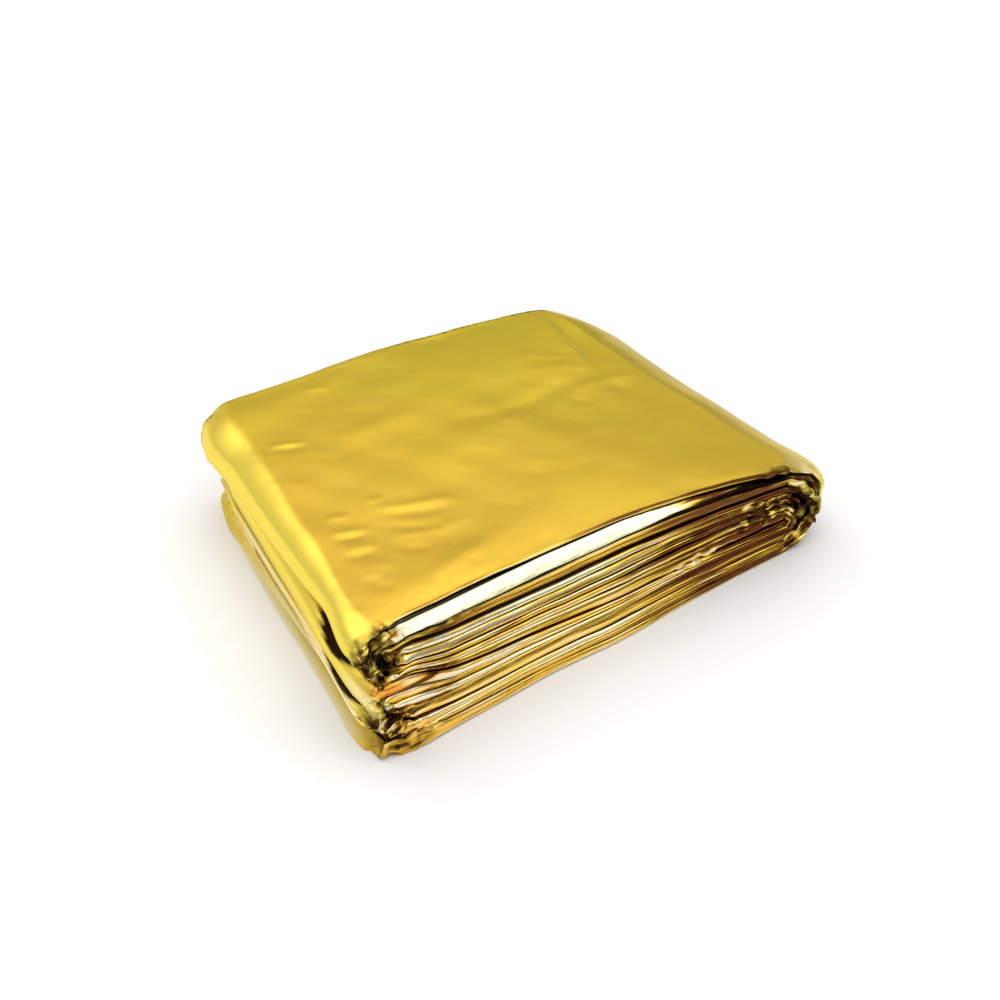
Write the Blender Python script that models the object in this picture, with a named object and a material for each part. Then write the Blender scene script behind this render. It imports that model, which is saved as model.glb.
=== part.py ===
"""Emergency foil blanket, folded flat into a small thick pack.

The blanket is one sheet. It is pleated lengthwise into a narrow strip, and the
strip is then folded in half four times, so that sixteen runs lie one above the
other. The last fold wraps all of them at the right end. At the left end the
turns gather in three bundles, and the strip's two ends lie loose at the bottom.

+X runs along the pack, +Y from its layered front to its back, and +Z is up.
The origin is under the middle of the pack, on the surface that it lies on.
"""

import math
from collections import namedtuple

import bmesh
import bpy

MM = 0.001

# Driving dimensions
RUNS = 16                   # four foldings in half
THICKNESS = 1.0 * MM        # one run, its plies of foil pressed together
RUN_STEPS = 7               # steps along a run, between its two turns
EDGE_FADE = 9.0 * MM        # beside a turn, where a run's back edge steps inwards
BRIGHT_GOLD = (0.92, 0.62, 0.10, 1.0)
FOIL_ROUGHNESS = 0.2

# A bundle is a set of turns nested around each other. Its outer turn joins the
# runs top and bottom. Reach is a turn's length along X by half of its height.
Bundle = namedtuple("Bundle", "name side top bottom reach steps")
RIGHT_END = Bundle("right", 1, 0, 15, 0.95, 10)
LEFT_ENDS = (
    Bundle("upper", -1, 0, 7, 1.25, 8),
    Bundle("middle", -1, 8, 11, 1.10, 6),
    Bundle("lower", -1, 12, 13, 1.10, 6),
)
LOOSE_ENDS = {14: 2.0 * MM, 15: 0.5 * MM}    # run: how far short of the lower tip

# Cuts across the pack, from front to back: where each bundle's tip lies along
# X, and the pack's height at its left end, its middle and its right end.
Cut = namedtuple("Cut", "depth upper middle lower right left_h middle_h right_h")
CUTS = tuple(Cut(row[0], *(value * MM for value in row[1:])) for row in (
    # depth upper  middle  lower  right  left  mid   right
    (0.00, -74.1, -73.6, -74.0, 72.4, 33.0, 32.0, 24.8),
    (0.05, -75.6, -74.2, -75.5, 75.5, 33.5, 32.5, 25.0),
    (0.20, -73.1, -71.8, -73.6, 74.6, 33.0, 32.8, 25.8),
    (0.40, -69.2, -67.8, -69.8, 73.6, 32.5, 32.6, 26.8),
    (0.60, -66.2, -64.2, -66.4, 73.0, 32.0, 32.2, 27.5),
    (0.80, -64.0, -60.4, -62.0, 72.8, 31.4, 32.0, 28.2),
    (0.95, -61.6, -57.0, -58.4, 72.6, 30.8, 31.7, 28.8),
    (1.00, -58.9, -54.0, -55.2, 71.0, 30.4, 31.6, 28.6),
))
HEIGHT_AT = (-62.0 * MM, 0.0, 64.0 * MM)     # where along X the heights hold

# The layered front, from left to right: the lowest run sticks out most, and
# the highest is drawn back.
FrontPoint = namedtuple("FrontPoint", "x lowest highest")
FRONT = tuple(FrontPoint(*(value * MM for value in row)) for row in (
    (-76.6, -57.8, -57.8),
    (-66.6, -60.6, -56.6),
    (-50.6, -59.8, -50.6),
    (-20.6, -57.6, -48.3),
    (-0.6, -57.2, -47.9),
    (27.4, -54.8, -50.6),
    (51.4, -53.6, -52.4),
    (75.4, -52.6, -52.2),
))

# The back, from left to right: it bows outwards.
BackPoint = namedtuple("BackPoint", "x y")
BACK = tuple(BackPoint(*(value * MM for value in row)) for row in (
    (-66.6, 53.9),
    (-52.6, 58.6),
    (-38.6, 60.0),
    (5.4, 57.9),
    (35.4, 54.8),
    (55.4, 51.6),
    (65.4, 47.0),
    (75.4, 40.0),
))

# The runs from top to bottom: how far each sticks out at the front, as a share
# of the way from the highest to the lowest, and how far its back lies inwards.
Run = namedtuple("Run", "forward back_inset")
RUN_EDGES = tuple(Run(forward, inset * MM) for forward, inset in (
    (0.00, 0.0),
    (0.40, 0.8),
    (0.48, 0.3),
    (0.58, 1.2),
    (0.55, 0.6),
    (0.66, 1.5),
    (0.72, 0.9),
    (0.66, 0.2),
    (0.78, 1.4),
    (0.74, 0.7),
    (0.84, 1.6),
    (0.90, 1.0),
    (0.84, 0.4),
    (0.94, 1.3),
    (0.90, 0.8),
    (1.00, 1.5),
))

RunPoint = namedtuple("RunPoint", "run along")
TurnPoint = namedtuple("TurnPoint", "bundle start end angle")


def mix(a, b, share):
    return a + (b - a) * share


def ease(share):
    share = min(max(share, 0.0), 1.0)
    return share * share * (3.0 - 2.0 * share)


def along_table(table, x, column):
    """Read a column of a left-to-right table at x, straight between its rows."""
    for left, right in zip(table, table[1:]):
        if x <= right.x:
            share = max(x - left.x, 0.0) / (right.x - left.x)
            return mix(getattr(left, column), getattr(right, column), share)
    return getattr(table[-1], column)


def clear_scene():
    for item in list(bpy.data.objects):
        bpy.data.objects.remove(item, do_unlink=True)


def pack_height(x, cut):
    left, middle, right = HEIGHT_AT
    if x < middle:
        return mix(cut.left_h, cut.middle_h, ease((x - left) / (middle - left)))
    share = min((x - middle) / (right - middle), 1.0)
    return mix(cut.middle_h, cut.right_h, share * share)


def level(run, x, cut):
    """Height of a run's middle. The lowest run lies flat on the surface."""
    share = (RUNS - 1 - run) / (RUNS - 1)
    return THICKNESS / 2 + (pack_height(x, cut) - THICKNESS) * share


def left_bundle(run):
    return next(bundle for bundle in LEFT_ENDS if bundle.top <= run <= bundle.bottom)


def turn_line(bundle, cut):
    """X where a bundle's runs begin to turn, inside its tip."""
    tip = getattr(cut, bundle.name)
    rise = level(bundle.top, tip, cut) - level(bundle.bottom, tip, cut)
    return tip - bundle.side * (bundle.reach * rise / 2 + THICKNESS / 2)


def run_start(run, cut):
    """X of a run's left end: its bundle's turn line, or the sheet's loose edge."""
    if run in LOOSE_ENDS:
        return cut.lower + LOOSE_ENDS[run]
    return turn_line(left_bundle(run), cut)


def depth_place(x, cut, forward, inset):
    """Y at a cut, between the front and the back of the pack."""
    front = mix(along_table(FRONT, x, "highest"), along_table(FRONT, x, "lowest"), forward)
    back = along_table(BACK, x, "y") - inset
    return mix(front, back, cut.depth)


def place_run_point(point, cut):
    start = run_start(point.run, cut)
    end = turn_line(RIGHT_END, cut)
    x = mix(start, end, point.along)
    edges = RUN_EDGES[point.run]
    fade = ease((x - start) / EDGE_FADE) * ease((end - x) / EDGE_FADE)
    y = depth_place(x, cut, edges.forward, edges.back_inset * fade)
    return x, y, level(point.run, x, cut)


def place_turn_point(point, cut):
    line = turn_line(point.bundle, cut)
    start = level(point.start, line, cut)
    end = level(point.end, line, cut)
    reach = point.bundle.reach * abs(start - end) / 2
    x = line + point.bundle.side * reach * math.sin(point.angle)
    share = (1.0 - math.cos(point.angle)) / 2
    forward = mix(RUN_EDGES[point.start].forward, RUN_EDGES[point.end].forward, share)
    return x, depth_place(x, cut, forward, 0.0), mix(start, end, share)


def place(point, cut):
    if isinstance(point, RunPoint):
        return place_run_point(point, cut)
    return place_turn_point(point, cut)


def run_points(run, side):
    """Points along a run, towards one side of the pack."""
    shares = [step / RUN_STEPS for step in range(RUN_STEPS + 1)]
    if side < 0:
        shares.reverse()
    return [RunPoint(run, share) for share in shares]


def turn_points(bundle, start):
    """The other run of a turn, and the points between the two runs."""
    end = bundle.top + bundle.bottom - start
    angles = [math.pi * step / bundle.steps for step in range(1, bundle.steps)]
    return end, [TurnPoint(bundle, start, end, angle) for angle in angles]


def fold_path():
    """Follow the strip from its inner loose end, through all runs, to the other."""
    run = min(LOOSE_ENDS)
    path = []
    while True:
        path += run_points(run, 1)
        run, turn = turn_points(RIGHT_END, run)
        path += turn
        path += run_points(run, -1)
        if run in LOOSE_ENDS:
            return path
        run, turn = turn_points(left_bundle(run), run)
        path += turn


def gold_foil():
    material = bpy.data.materials.new("gold foil")
    material.use_nodes = True
    shader = material.node_tree.nodes["Principled BSDF"]
    shader.inputs["Base Color"].default_value = BRIGHT_GOLD
    shader.inputs["Metallic"].default_value = 1.0
    shader.inputs["Roughness"].default_value = FOIL_ROUGHNESS
    material.diffuse_color = BRIGHT_GOLD
    return material


def folded_sheet():
    """Lay out a flat grid, one column a cut, and bend it along the fold path."""
    path = fold_path()
    steps = len(path) - 1
    cuts = len(CUTS) - 1
    sheet = bmesh.new()
    bmesh.ops.create_grid(sheet, x_segments=steps, y_segments=cuts, size=1.0)
    for corner in sheet.verts:
        step = round((corner.co.x + 1.0) / 2 * steps)
        cut = round((corner.co.y + 1.0) / 2 * cuts)
        corner.co = place(path[step], CUTS[cut])
    mesh = bpy.data.meshes.new("foil_blanket")
    sheet.to_mesh(mesh)
    sheet.free()
    mesh.shade_smooth()

    blanket = bpy.data.objects.new("foil_blanket", mesh)
    bpy.context.collection.objects.link(blanket)
    solidify = blanket.modifiers.new("thickness", "SOLIDIFY")
    solidify.thickness = THICKNESS
    solidify.offset = 0.0
    solidify.use_even_offset = True
    mesh.materials.append(gold_foil())
    return blanket


def main():
    clear_scene()
    folded_sheet()


main()
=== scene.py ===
"""Looks of an emergency foil blanket, folded flat into a small pack.

The blanket is one sheet of gold film. It is pleated into a narrow strip, and the
strip is folded in half four times, so that sixteen runs lie one above the other.
Every run is a flat tube here: an upper and a lower leaf, joined by a front nose
and a back nose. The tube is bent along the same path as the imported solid.

+X runs along the pack, +Y from its layered front to its back, and +Z is up. Runs
are numbered from 0 at the top to 15 at the bottom. Places are in mm until they
become a mesh, and a depth is a share of the way from front to back.
"""

import logging
import math
from dataclasses import dataclass, fields, replace
from enum import Enum, IntEnum

import bmesh
import bpy
import numpy as np
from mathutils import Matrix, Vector


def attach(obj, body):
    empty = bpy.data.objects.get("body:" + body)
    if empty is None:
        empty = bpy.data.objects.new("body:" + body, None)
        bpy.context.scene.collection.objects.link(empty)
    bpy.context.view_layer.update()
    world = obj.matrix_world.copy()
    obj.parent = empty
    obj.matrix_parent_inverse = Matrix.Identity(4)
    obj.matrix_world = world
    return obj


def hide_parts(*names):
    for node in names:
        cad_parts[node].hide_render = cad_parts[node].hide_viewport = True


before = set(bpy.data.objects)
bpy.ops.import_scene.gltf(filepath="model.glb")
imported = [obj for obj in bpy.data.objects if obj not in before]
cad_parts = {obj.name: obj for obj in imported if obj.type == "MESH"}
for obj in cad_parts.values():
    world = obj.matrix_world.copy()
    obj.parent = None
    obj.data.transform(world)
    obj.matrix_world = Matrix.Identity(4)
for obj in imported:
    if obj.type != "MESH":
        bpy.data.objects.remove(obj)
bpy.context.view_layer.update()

Triple = tuple[float, float, float]
Colour = tuple[float, float, float, float]
Socket = bpy.types.NodeSocket
Values = float | np.ndarray

MM = 0.001
WELD = 1e-7
FLOOR_GAP = 0.05
# marks painted into the film: shade is painted shade, tone runs from pale painted highlight to brown painted
# shade with some random tone, crinkle sets bumps and streaks, and green is a greenish film that below 0 is a
# painted amber reflection
FILM_MARKS = ("shade", "tone", "crinkle", "green")
SHADE, TONE_AND_PAINTED_LIGHT, CRINKLE, GREEN_AND_PAINTED_AMBER = range(len(FILM_MARKS))
LOG = logging.getLogger("foil_blanket")


class Side(Enum):
    """The end of the pack at which a turn lies."""

    LEFT = -1
    RIGHT = 1


class Seed(IntEnum):
    """The first seed of each family of wobbles; a run adds its own number."""

    FRONT = 0
    BACK = 50
    SWELL = 81
    TURN = 200
    TONE_AND_PAINTED_LIGHT = 300
    SHADOW = 400
    LINES = 500
    BROAD_LINES = 600
    NARROW_LINES = 700


@dataclass(frozen=True)
class Bundle:
    """Turns nested around each other; the outer one joins the runs top and bottom.

    reach is how far the turns stand out, in halves of the bundle's height, and
    steps is the number of steps in the outer turn. pinch is 1 for a round end and
    more for a pointed one.
    """

    name: str
    side: Side
    top: int
    bottom: int
    reach: float
    steps: int
    pinch: float = 1.0


@dataclass(frozen=True)
class Cut:
    """A cut across the pack: tip of each bundle along X, and heights."""

    depth: float
    upper: float
    middle: float
    lower: float
    right: float
    left_h: float
    middle_h: float
    right_h: float


@dataclass(frozen=True)
class Squeeze:
    """The left end, where the runs above a split are pressed into less height.

    scale is the part of their height that is left, and between start and end the
    squeeze comes in.
    """

    split: int
    scale: float
    start: float
    end: float


@dataclass(frozen=True)
class Rib:
    """One run as seen from the front, with values at the left, middle and right.

    share is its part of the pack's height, in hundredths, scaled so that all of them fill it, and forward is
    how far it sticks out, from the highest run's front at 0 to the lowest's at 1. tone goes from pale at -1,
    mostly a painted highlight, to brown at 1, mostly painted shade, and shadow is the part of its height
    with painted shade, as dark as depth says. tip is the height of its foremost line from -1 to 1, upper and
    lower are the depths of its two facets, and roundness is 0 for flat facets and 1 for round ones.
    """

    share: Triple
    forward: Triple
    tone: Triple
    shadow: Triple
    depth: float
    tip: float = 0.0
    upper: float = 0.9
    lower: float = 0.8
    roundness: float = 0.8


@dataclass(frozen=True)
class EdgeMark:
    """Painted shade and tone of a layer's edge at the right end, above and lower down: pale tone is a
    painted highlight, brown tone painted shade.
    """

    shade: float
    tone: float
    low_shade: float
    low_tone: float


@dataclass(frozen=True)
class Sway:
    """A slow wobble along the runs, another one for each run."""

    height: float
    wave: float
    seed: Seed

    def at(self, run: int, x: np.ndarray) -> np.ndarray:
        """The wobble of one run at places along it."""
        return self.height * wander(x, self.seed + run, self.wave)


@dataclass(frozen=True)
class FineLines:
    """A family of fine lines of painted highlight and shade along a run: how many to a mm, and how they
    drift.
    """

    per_mm: float
    drift: Sway


@dataclass(frozen=True)
class Patch:
    """A part of the film between soft limits: each goes from none to full."""

    x: tuple[float, float]
    z: tuple[float, float]
    depth: tuple[float, float]
    tone: float


RIGHT_END = Bundle("right", Side.RIGHT, 0, 15, 1.20, 44, 1.6)
LEFT_ENDS = (
    Bundle("upper", Side.LEFT, 0, 7, 1.25, 34),
    Bundle("middle", Side.LEFT, 8, 11, 1.05, 24, 0.85),
    Bundle("lower", Side.LEFT, 12, 13, 1.00, 16, 0.85),
)
# how far each loose end lies from the lower bundle's tip
LOOSE_ENDS = {14: 0.8, 15: -1.0}

CUTS = (
    # depth, upper, middle, lower, right, left_h, middle_h, right_h
    Cut(0.00, -75.0, -75.0, -72.6, 73.0, 33.0, 32.0, 24.8),
    Cut(0.05, -76.0, -75.4, -73.8, 76.2, 33.5, 32.5, 25.0),
    Cut(0.20, -72.3, -73.2, -71.6, 75.0, 33.0, 32.8, 25.6),
    Cut(0.40, -69.0, -69.2, -68.0, 73.8, 32.5, 32.6, 26.5),
    Cut(0.60, -65.2, -65.4, -64.6, 73.0, 32.0, 32.2, 27.3),
    Cut(0.80, -61.2, -61.2, -60.4, 72.8, 31.6, 32.0, 28.1),
    Cut(0.95, -59.6, -57.4, -56.8, 72.4, 31.2, 31.5, 28.7),
    Cut(1.00, -57.8, -55.4, -54.4, 71.0, 30.6, 31.2, 28.5),
)
PACK_HEIGHT = 32.0
# places of the left, middle and right values, and those of the tones
HEIGHT_AT = (-62.0, 0.0, 64.0)
TONE_AT = (-62.0, -5.0, 30.0)
LEFT_SQUEEZE = Squeeze(8, 0.78, -50.0, -66.0)

# x, front of the lowest run, front of the highest run
FRONT = (
    (-76.6, -57.8, -57.0),
    (-66.6, -60.6, -53.2),
    (-50.6, -59.8, -51.0),
    (-20.6, -57.6, -48.9),
    (-0.6, -57.2, -48.0),
    (27.4, -54.8, -49.6),
    (51.4, -53.6, -50.8),
    (75.4, -52.6, -51.8),
)
# x, back
BACK = (
    (-66.6, 54.9),
    (-52.6, 58.2),
    (-38.6, 58.4),
    (5.4, 57.6),
    (35.4, 55.8),
    (55.4, 52.8),
    (65.4, 47.0),
    (75.4, 40.0),
)

RIBS = (
    # share, forward, tone, shadow, depth, tip, upper, lower, roundness
    Rib((2.5, 3.7, 5.0), (0.0, 0.13, 0.13), (0.0, 0.0, 0.9), (0.42, 0.54, 0.6), 1.0, 0.2, 0.5, 0.9, 1.0),
    Rib((8.0, 10.8, 4.0), (0.45, 0.4, 0.3), (-2.0, -6.0, 1.3), (0.1, 0.08, 0.7), 1.0, -0.75, 3.0, 0.5, 0.2),
    Rib((7.3, 13.0, 9.0), (0.5, 0.4, 0.38), (0.7, 0.4, 1.3), (0.2, 0.08, 0.4), 0.9, 0.3, 0.5, 0.8, 0.7),
    Rib((7.2, 6.0, 7.0), (0.62, 0.5, 0.45), (-1.1, -1.2, 1.0), (0.25, 0.25, 0.3), 0.75, 0.0, 0.9, 0.6, 0.6),
    Rib((7.2, 7.0, 8.0), (0.66, 0.58, 0.5), (-0.1, 0.1, 1.1), (0.15, 0.2, 0.3), 0.75, -0.5, 1.3, 0.5, 0.5),
    Rib((4.2, 6.0, 6.0), (0.7, 0.62, 0.5), (0.3, 0.1, 1.3), (0.2, 0.2, 0.5), 0.75, 0.2, 0.7, 0.6, 0.8),
    Rib((4.6, 6.0, 8.0), (0.74, 0.68, 0.62), (-0.1, -0.2, 0.9), (0.2, 0.2, 0.2), 0.7, -0.2, 0.9, 0.7, 0.8),
    Rib((3.5, 11.0, 12.0), (0.72, 0.74, 0.7), (0.4, -0.1, 1.3), (0.3, 0.15, 0.25), 0.8, -0.1, 1.2, 0.9, 0.7),
    Rib((9.1, 2.3, 4.0), (0.82, 0.76, 0.68), (-0.5, -0.3, 1.0), (0.15, 0.25, 0.25), 0.6, 0.0, 0.8, 0.5, 0.9),
    Rib((5.7, 2.0, 3.0), (0.8, 0.78, 0.74), (0.1, 0.1, 0.5), (0.18, 0.25, 0.25), 0.5, 0.0, 0.6, 0.5, 0.9),
    Rib((5.7, 2.0, 3.0), (0.86, 0.82, 0.74), (-0.5, -0.3, 0.8), (0.18, 0.25, 0.25), 0.5, 0.0, 0.8, 0.5, 0.9),
    Rib((4.0, 2.2, 4.0), (0.86, 0.82, 0.8), (0.1, 0.0, 1.0), (0.5, 0.45, 0.35), 0.85, 0.0, 0.7, 0.6, 0.9),
    Rib((7.1, 9.5, 11.0), (0.84, 0.9, 0.86), (0.2, 0.3, 1.2), (0.12, 0.1, 0.2), 0.6, -0.5, 1.0, 0.5, 0.5),
    Rib((6.0, 4.0, 5.0), (0.94, 0.94, 0.92), (0.0, -0.3, 0.9), (0.2, 0.2, 0.25), 0.45, 0.1, 0.8, 0.6, 0.9),
    Rib((4.1, 8.0, 6.0), (0.92, 0.96, 0.94), (-0.2, 0.1, 0.7), (0.2, 0.2, 0.25), 0.45, -0.1, 0.9, 0.7, 0.8),
    Rib((10.6, 6.5, 5.0), (1.0, 1.0, 1.0), (0.0, -0.2, 0.6), (0.15, 0.2, 0.2), 0.45, -0.3, 0.9, 0.4, 0.8),
)
# to the right the fine lines of painted highlight and shade grow stronger, the tone browner with painted
# shade and the painted shade darker
LINES_FROM_TO = (-10.0, 40.0)
BROWNER_FROM_TO = (5.0, 45.0)
DEEPER_SHADE_FROM_TO = (10.0, 60.0)
FINE_LINES = (
    FineLines(0.45, Sway(0.15, 60.0, Seed.BROAD_LINES)),
    FineLines(1.15, Sway(0.25, 45.0, Seed.NARROW_LINES)),
)
FRONT_SWAY = Sway(0.2, 60.0, Seed.FRONT)
BACK_SWAY = Sway(0.6, 70.0, Seed.BACK)
TONE_SWAY = Sway(0.15, 50.0, Seed.TONE_AND_PAINTED_LIGHT)
SHADOW_SWAY = Sway(0.05, 40.0, Seed.SHADOW)
# pale painted highlight, brown painted shade and pale painted highlight on nested edges at the right end,
# from the outside in, then brown painted shade
RIGHT_EDGES = (
    EdgeMark(0.0, -0.5, 0.55, 0.8),
    EdgeMark(0.5, 1.0, 0.3, 0.9),
    EdgeMark(0.0, -0.5, 0.1, 0.2),
    EdgeMark(0.7, 1.0, 0.5, 1.0),
)
FOOT_HIGHLIGHT = Patch((-58.0, -62.0), (10.5, 8.5), (0.06, 0.12), -0.7)


def ease(share: Values) -> np.ndarray:
    """Turn a straight ramp from 0 to 1 into a soft one, clipped at both ends."""
    share = np.clip(share, 0.0, 1.0)
    return share * share * (3.0 - 2.0 * share)


def fade(value: Values, none: Values, full: Values) -> np.ndarray:
    """Go softly from 0 where a value is at none to 1 where it is at full."""
    return ease((value - none) / (full - none))


def mix(a: Values, b: Values, share: Values) -> Values:
    """Blend a into b by share."""
    return a + (b - a) * share


def near(places: np.ndarray, centre: Triple, radius: Triple, power: float) -> np.ndarray:
    """How near places are to a spot.

    Args:
        places: Any array of points.
        centre: The middle of the spot.
        radius: Its half sizes.
        power: Half the power of the fall; the higher, the sharper the spot's edge.

    Returns:
        1 in the middle, falling to 0 outside.
    """
    away = (places - np.array(centre)) / np.array(radius)
    return np.exp(-((away**2).sum(axis=-1) ** power))


def spread(seed: int, count: int) -> np.ndarray:
    """Repeatable numbers from 0 to 1, well apart from each other.

    Args:
        seed: Which row of numbers.
        count: How many.

    Returns:
        The numbers, in an array.
    """
    return np.random.default_rng(seed).random(count)


WANDER_OCTAVES = 4
WANDER_FINER = 1.7
WANDER_WEAKER = 1.6
WANDER_PEAK = 2.2


def wander(x: np.ndarray, seed: int, wave: float) -> np.ndarray:
    """A slow, smooth wobble along x, about -1 to 1.

    Args:
        x: Places.
        seed: Picks one wobble from many.
        wave: Its longest wavelength.

    Returns:
        The wobble at each place.
    """
    phases = spread(seed, WANDER_OCTAVES) * math.tau
    total = np.zeros_like(x)
    for octave, phase in enumerate(phases):
        turn = math.tau * x * WANDER_FINER**octave / wave + phase
        total = total + np.sin(turn) / WANDER_WEAKER**octave
    return total / WANDER_PEAK


@dataclass(frozen=True)
class Opening:
    """A place at the left end where two bundles stand apart.

    It lies under one run. middle is its middle depth and half is half its reach from front to back. Going
    left, it begins at start and is open at full. Of the runs above and below it, soft_runs give way to it.
    The gap is shaded: shade_above and shade_below say how far its painted shade goes, in halves of its
    height.
    """

    under: int
    middle: float
    half: float
    height: float
    start: float = -52.0
    full: float = -66.0
    soft_runs: int = 5
    shade_above: float = 1.25
    shade_below: float = 2.2
    soft_edge: float = 0.4
    least: float = 0.3

    def size(self, x: np.ndarray, depth: np.ndarray) -> np.ndarray:
        """Half the height of the opening."""
        along = np.exp(-(((depth - self.middle) / self.half) ** 2))
        return self.height / 2 * along * fade(x, self.start, self.full)

    def push(self, run: int, boundary: int) -> float:
        """How far the opening presses one boundary of a run, up or down.

        Args:
            run: The run.
            boundary: The run's own number for its top, or the next for its bottom.

        Returns:
            A share of the opening's half height, less for runs further from it.
        """
        away = abs(boundary - self.under - 1)
        share = max(0.0, 1.0 - away / self.soft_runs)
        return share if run <= self.under else -share

    def painted_shade_at(self, rise: np.ndarray, size: np.ndarray) -> np.ndarray:
        """Painted shade on the film in the opening, where the gap lies in shadow.

        Args:
            rise: Height above the opening's middle.
            size: Half the height of the opening there.

        Returns:
            1 in the opening, 0 away from it.
        """
        reach = size * np.where(rise < 0.0, self.shade_below, self.shade_above)
        return ease((reach - np.abs(rise)) / self.soft_edge + 0.5) * ease(size / self.least)


OPENINGS = (
    Opening(7, 0.19, 0.10, 4.6, shade_below=1.6),
    Opening(11, 0.18, 0.10, 3.4, shade_above=1.9, shade_below=2.4),
)


class Curve:
    """A smooth curve through a few knots, read at many places at once."""

    def __init__(self, places: tuple[float, ...], values: tuple[float, ...]) -> None:
        """Keep the knots and work out the slope at each.

        Args:
            places: Rising positions of the knots.
            values: The curve's value at each knot.
        """
        self.places = np.array(places, float)
        self.values = np.array(values, float)
        self.slopes = np.gradient(self.values, self.places)

    def __call__(self, at: np.ndarray) -> np.ndarray:
        """Read the curve.

        Args:
            at: Where to read it; outside the knots it stays level.

        Returns:
            The values there.
        """
        at = np.clip(at, self.places[0], self.places[-1])
        low = np.clip(np.searchsorted(self.places, at, side="right") - 1, 0, len(self.places) - 2)
        span = self.places[low + 1] - self.places[low]
        t = (at - self.places[low]) / span
        rise = self.values[low + 1] - self.values[low]
        start = t * (1.0 - t) ** 2 * span * self.slopes[low]
        end = t * t * (t - 1.0) * span * self.slopes[low + 1]
        return self.values[low] + ease(t) * rise + start + end


class PackShape:
    """The outer shape of the pack and the level of every run in it."""

    def __init__(self) -> None:
        """Make the curves through the tables."""
        depths = tuple(cut.depth for cut in CUTS)
        self.over_depth = {
            field.name: Curve(depths, tuple(getattr(cut, field.name) for cut in CUTS))
            for field in fields(Cut)
        }
        places, low, high = zip(*FRONT)
        self.front_low, self.front_high = Curve(places, low), Curve(places, high)
        self.back = Curve(*zip(*BACK))
        shares = np.array([rib.share for rib in RIBS])
        shares /= shares.sum(axis=0)
        self.tops = np.vstack([np.zeros(3), np.cumsum(shares, axis=0)])
        self.forwards = np.array([rib.forward for rib in RIBS])

    def height(self, x: np.ndarray, depth: np.ndarray) -> np.ndarray:
        """Height of the pack at a place in its plan."""
        left, middle, right = HEIGHT_AT
        ends = [self.over_depth[name](depth) for name in ("left_h", "middle_h", "right_h")]
        to_left = mix(ends[0], ends[1], fade(x, left, middle))
        to_right = mix(ends[1], ends[2], np.clip((x - middle) / (right - middle), 0.0, 1.0) ** 2)
        return np.where(x < middle, to_left, to_right)

    @staticmethod
    def along(row: np.ndarray, x: np.ndarray) -> np.ndarray:
        """Read a row of left, middle and right values on one plain curve.

        Args:
            row: The three values.
            x: Where to read them.

        Returns:
            The values there.
        """
        left, middle, right = HEIGHT_AT
        x = np.clip(x, left, right)
        at_left = (x - middle) * (x - right) / ((left - middle) * (left - right))
        at_middle = (x - left) * (x - right) / ((middle - left) * (middle - right))
        at_right = (x - left) * (x - middle) / ((right - left) * (right - middle))
        return row[..., 0] * at_left + row[..., 1] * at_middle + row[..., 2] * at_right

    def level(self, run: int, x: np.ndarray, depth: np.ndarray) -> np.ndarray:
        """Height of the boundary above a run, with no opening.

        Args:
            run: The run, or one more than the last for the underside.
            x: Places along the pack.
            depth: Their depths.

        Returns:
            The height at each place.
        """
        share = self.along(self.tops[run], x)
        squeeze = LEFT_SQUEEZE
        split = self.along(self.tops[squeeze.split], x)
        if run <= squeeze.split:
            squeezed = share * squeeze.scale
        else:
            squeezed = 1.0 - (1.0 - share) * (1.0 - split * squeeze.scale) / (1.0 - split)
        share = mix(share, squeezed, fade(x, squeeze.start, squeeze.end))
        return self.height(x, depth) * (1.0 - share)

    def band(self, run: int, x: np.ndarray, depth: np.ndarray) -> tuple[np.ndarray, np.ndarray]:
        """Top and bottom level of a run.

        Args:
            run: The run.
            x: Places along the pack.
            depth: Their depths.

        Returns:
            The heights of its top and its bottom at each place.
        """
        top, bottom = self.level(run, x, depth), self.level(run + 1, x, depth)
        for opening in OPENINGS:
            size = opening.size(x, depth)
            top = top + opening.push(run, run) * size
            bottom = bottom + opening.push(run, run + 1) * size
        return top, bottom

    def turn_line(self, bundle: Bundle, depth: np.ndarray) -> np.ndarray:
        """X where a bundle's runs begin to turn, inside its tip.

        Args:
            bundle: The bundle.
            depth: Depths at which to say it.

        Returns:
            X at each depth.
        """
        tip = self.over_depth[bundle.name](depth)
        top, _ = self.band(bundle.top, tip, depth)
        _, bottom = self.band(bundle.bottom, tip, depth)
        return tip - bundle.side.value * bundle.reach * (top - bottom) / 2

    def run_start(self, run: int, depth: np.ndarray) -> np.ndarray:
        """X of a run's left end: a turn line, or the sheet's loose edge."""
        if run in LOOSE_ENDS:
            return self.over_depth["lower"](depth) + LOOSE_ENDS[run]
        return self.turn_line(left_bundle(run), depth)

    def front(self, run: int, x: np.ndarray) -> np.ndarray:
        """Y of a run's foremost line."""
        return mix(self.front_high(x), self.front_low(x), self.along(self.forwards[run], x))


def left_bundle(run: int) -> Bundle:
    """The left-hand bundle that a run belongs to."""
    return next(bundle for bundle in LEFT_ENDS if bundle.top <= run <= bundle.bottom)


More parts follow.
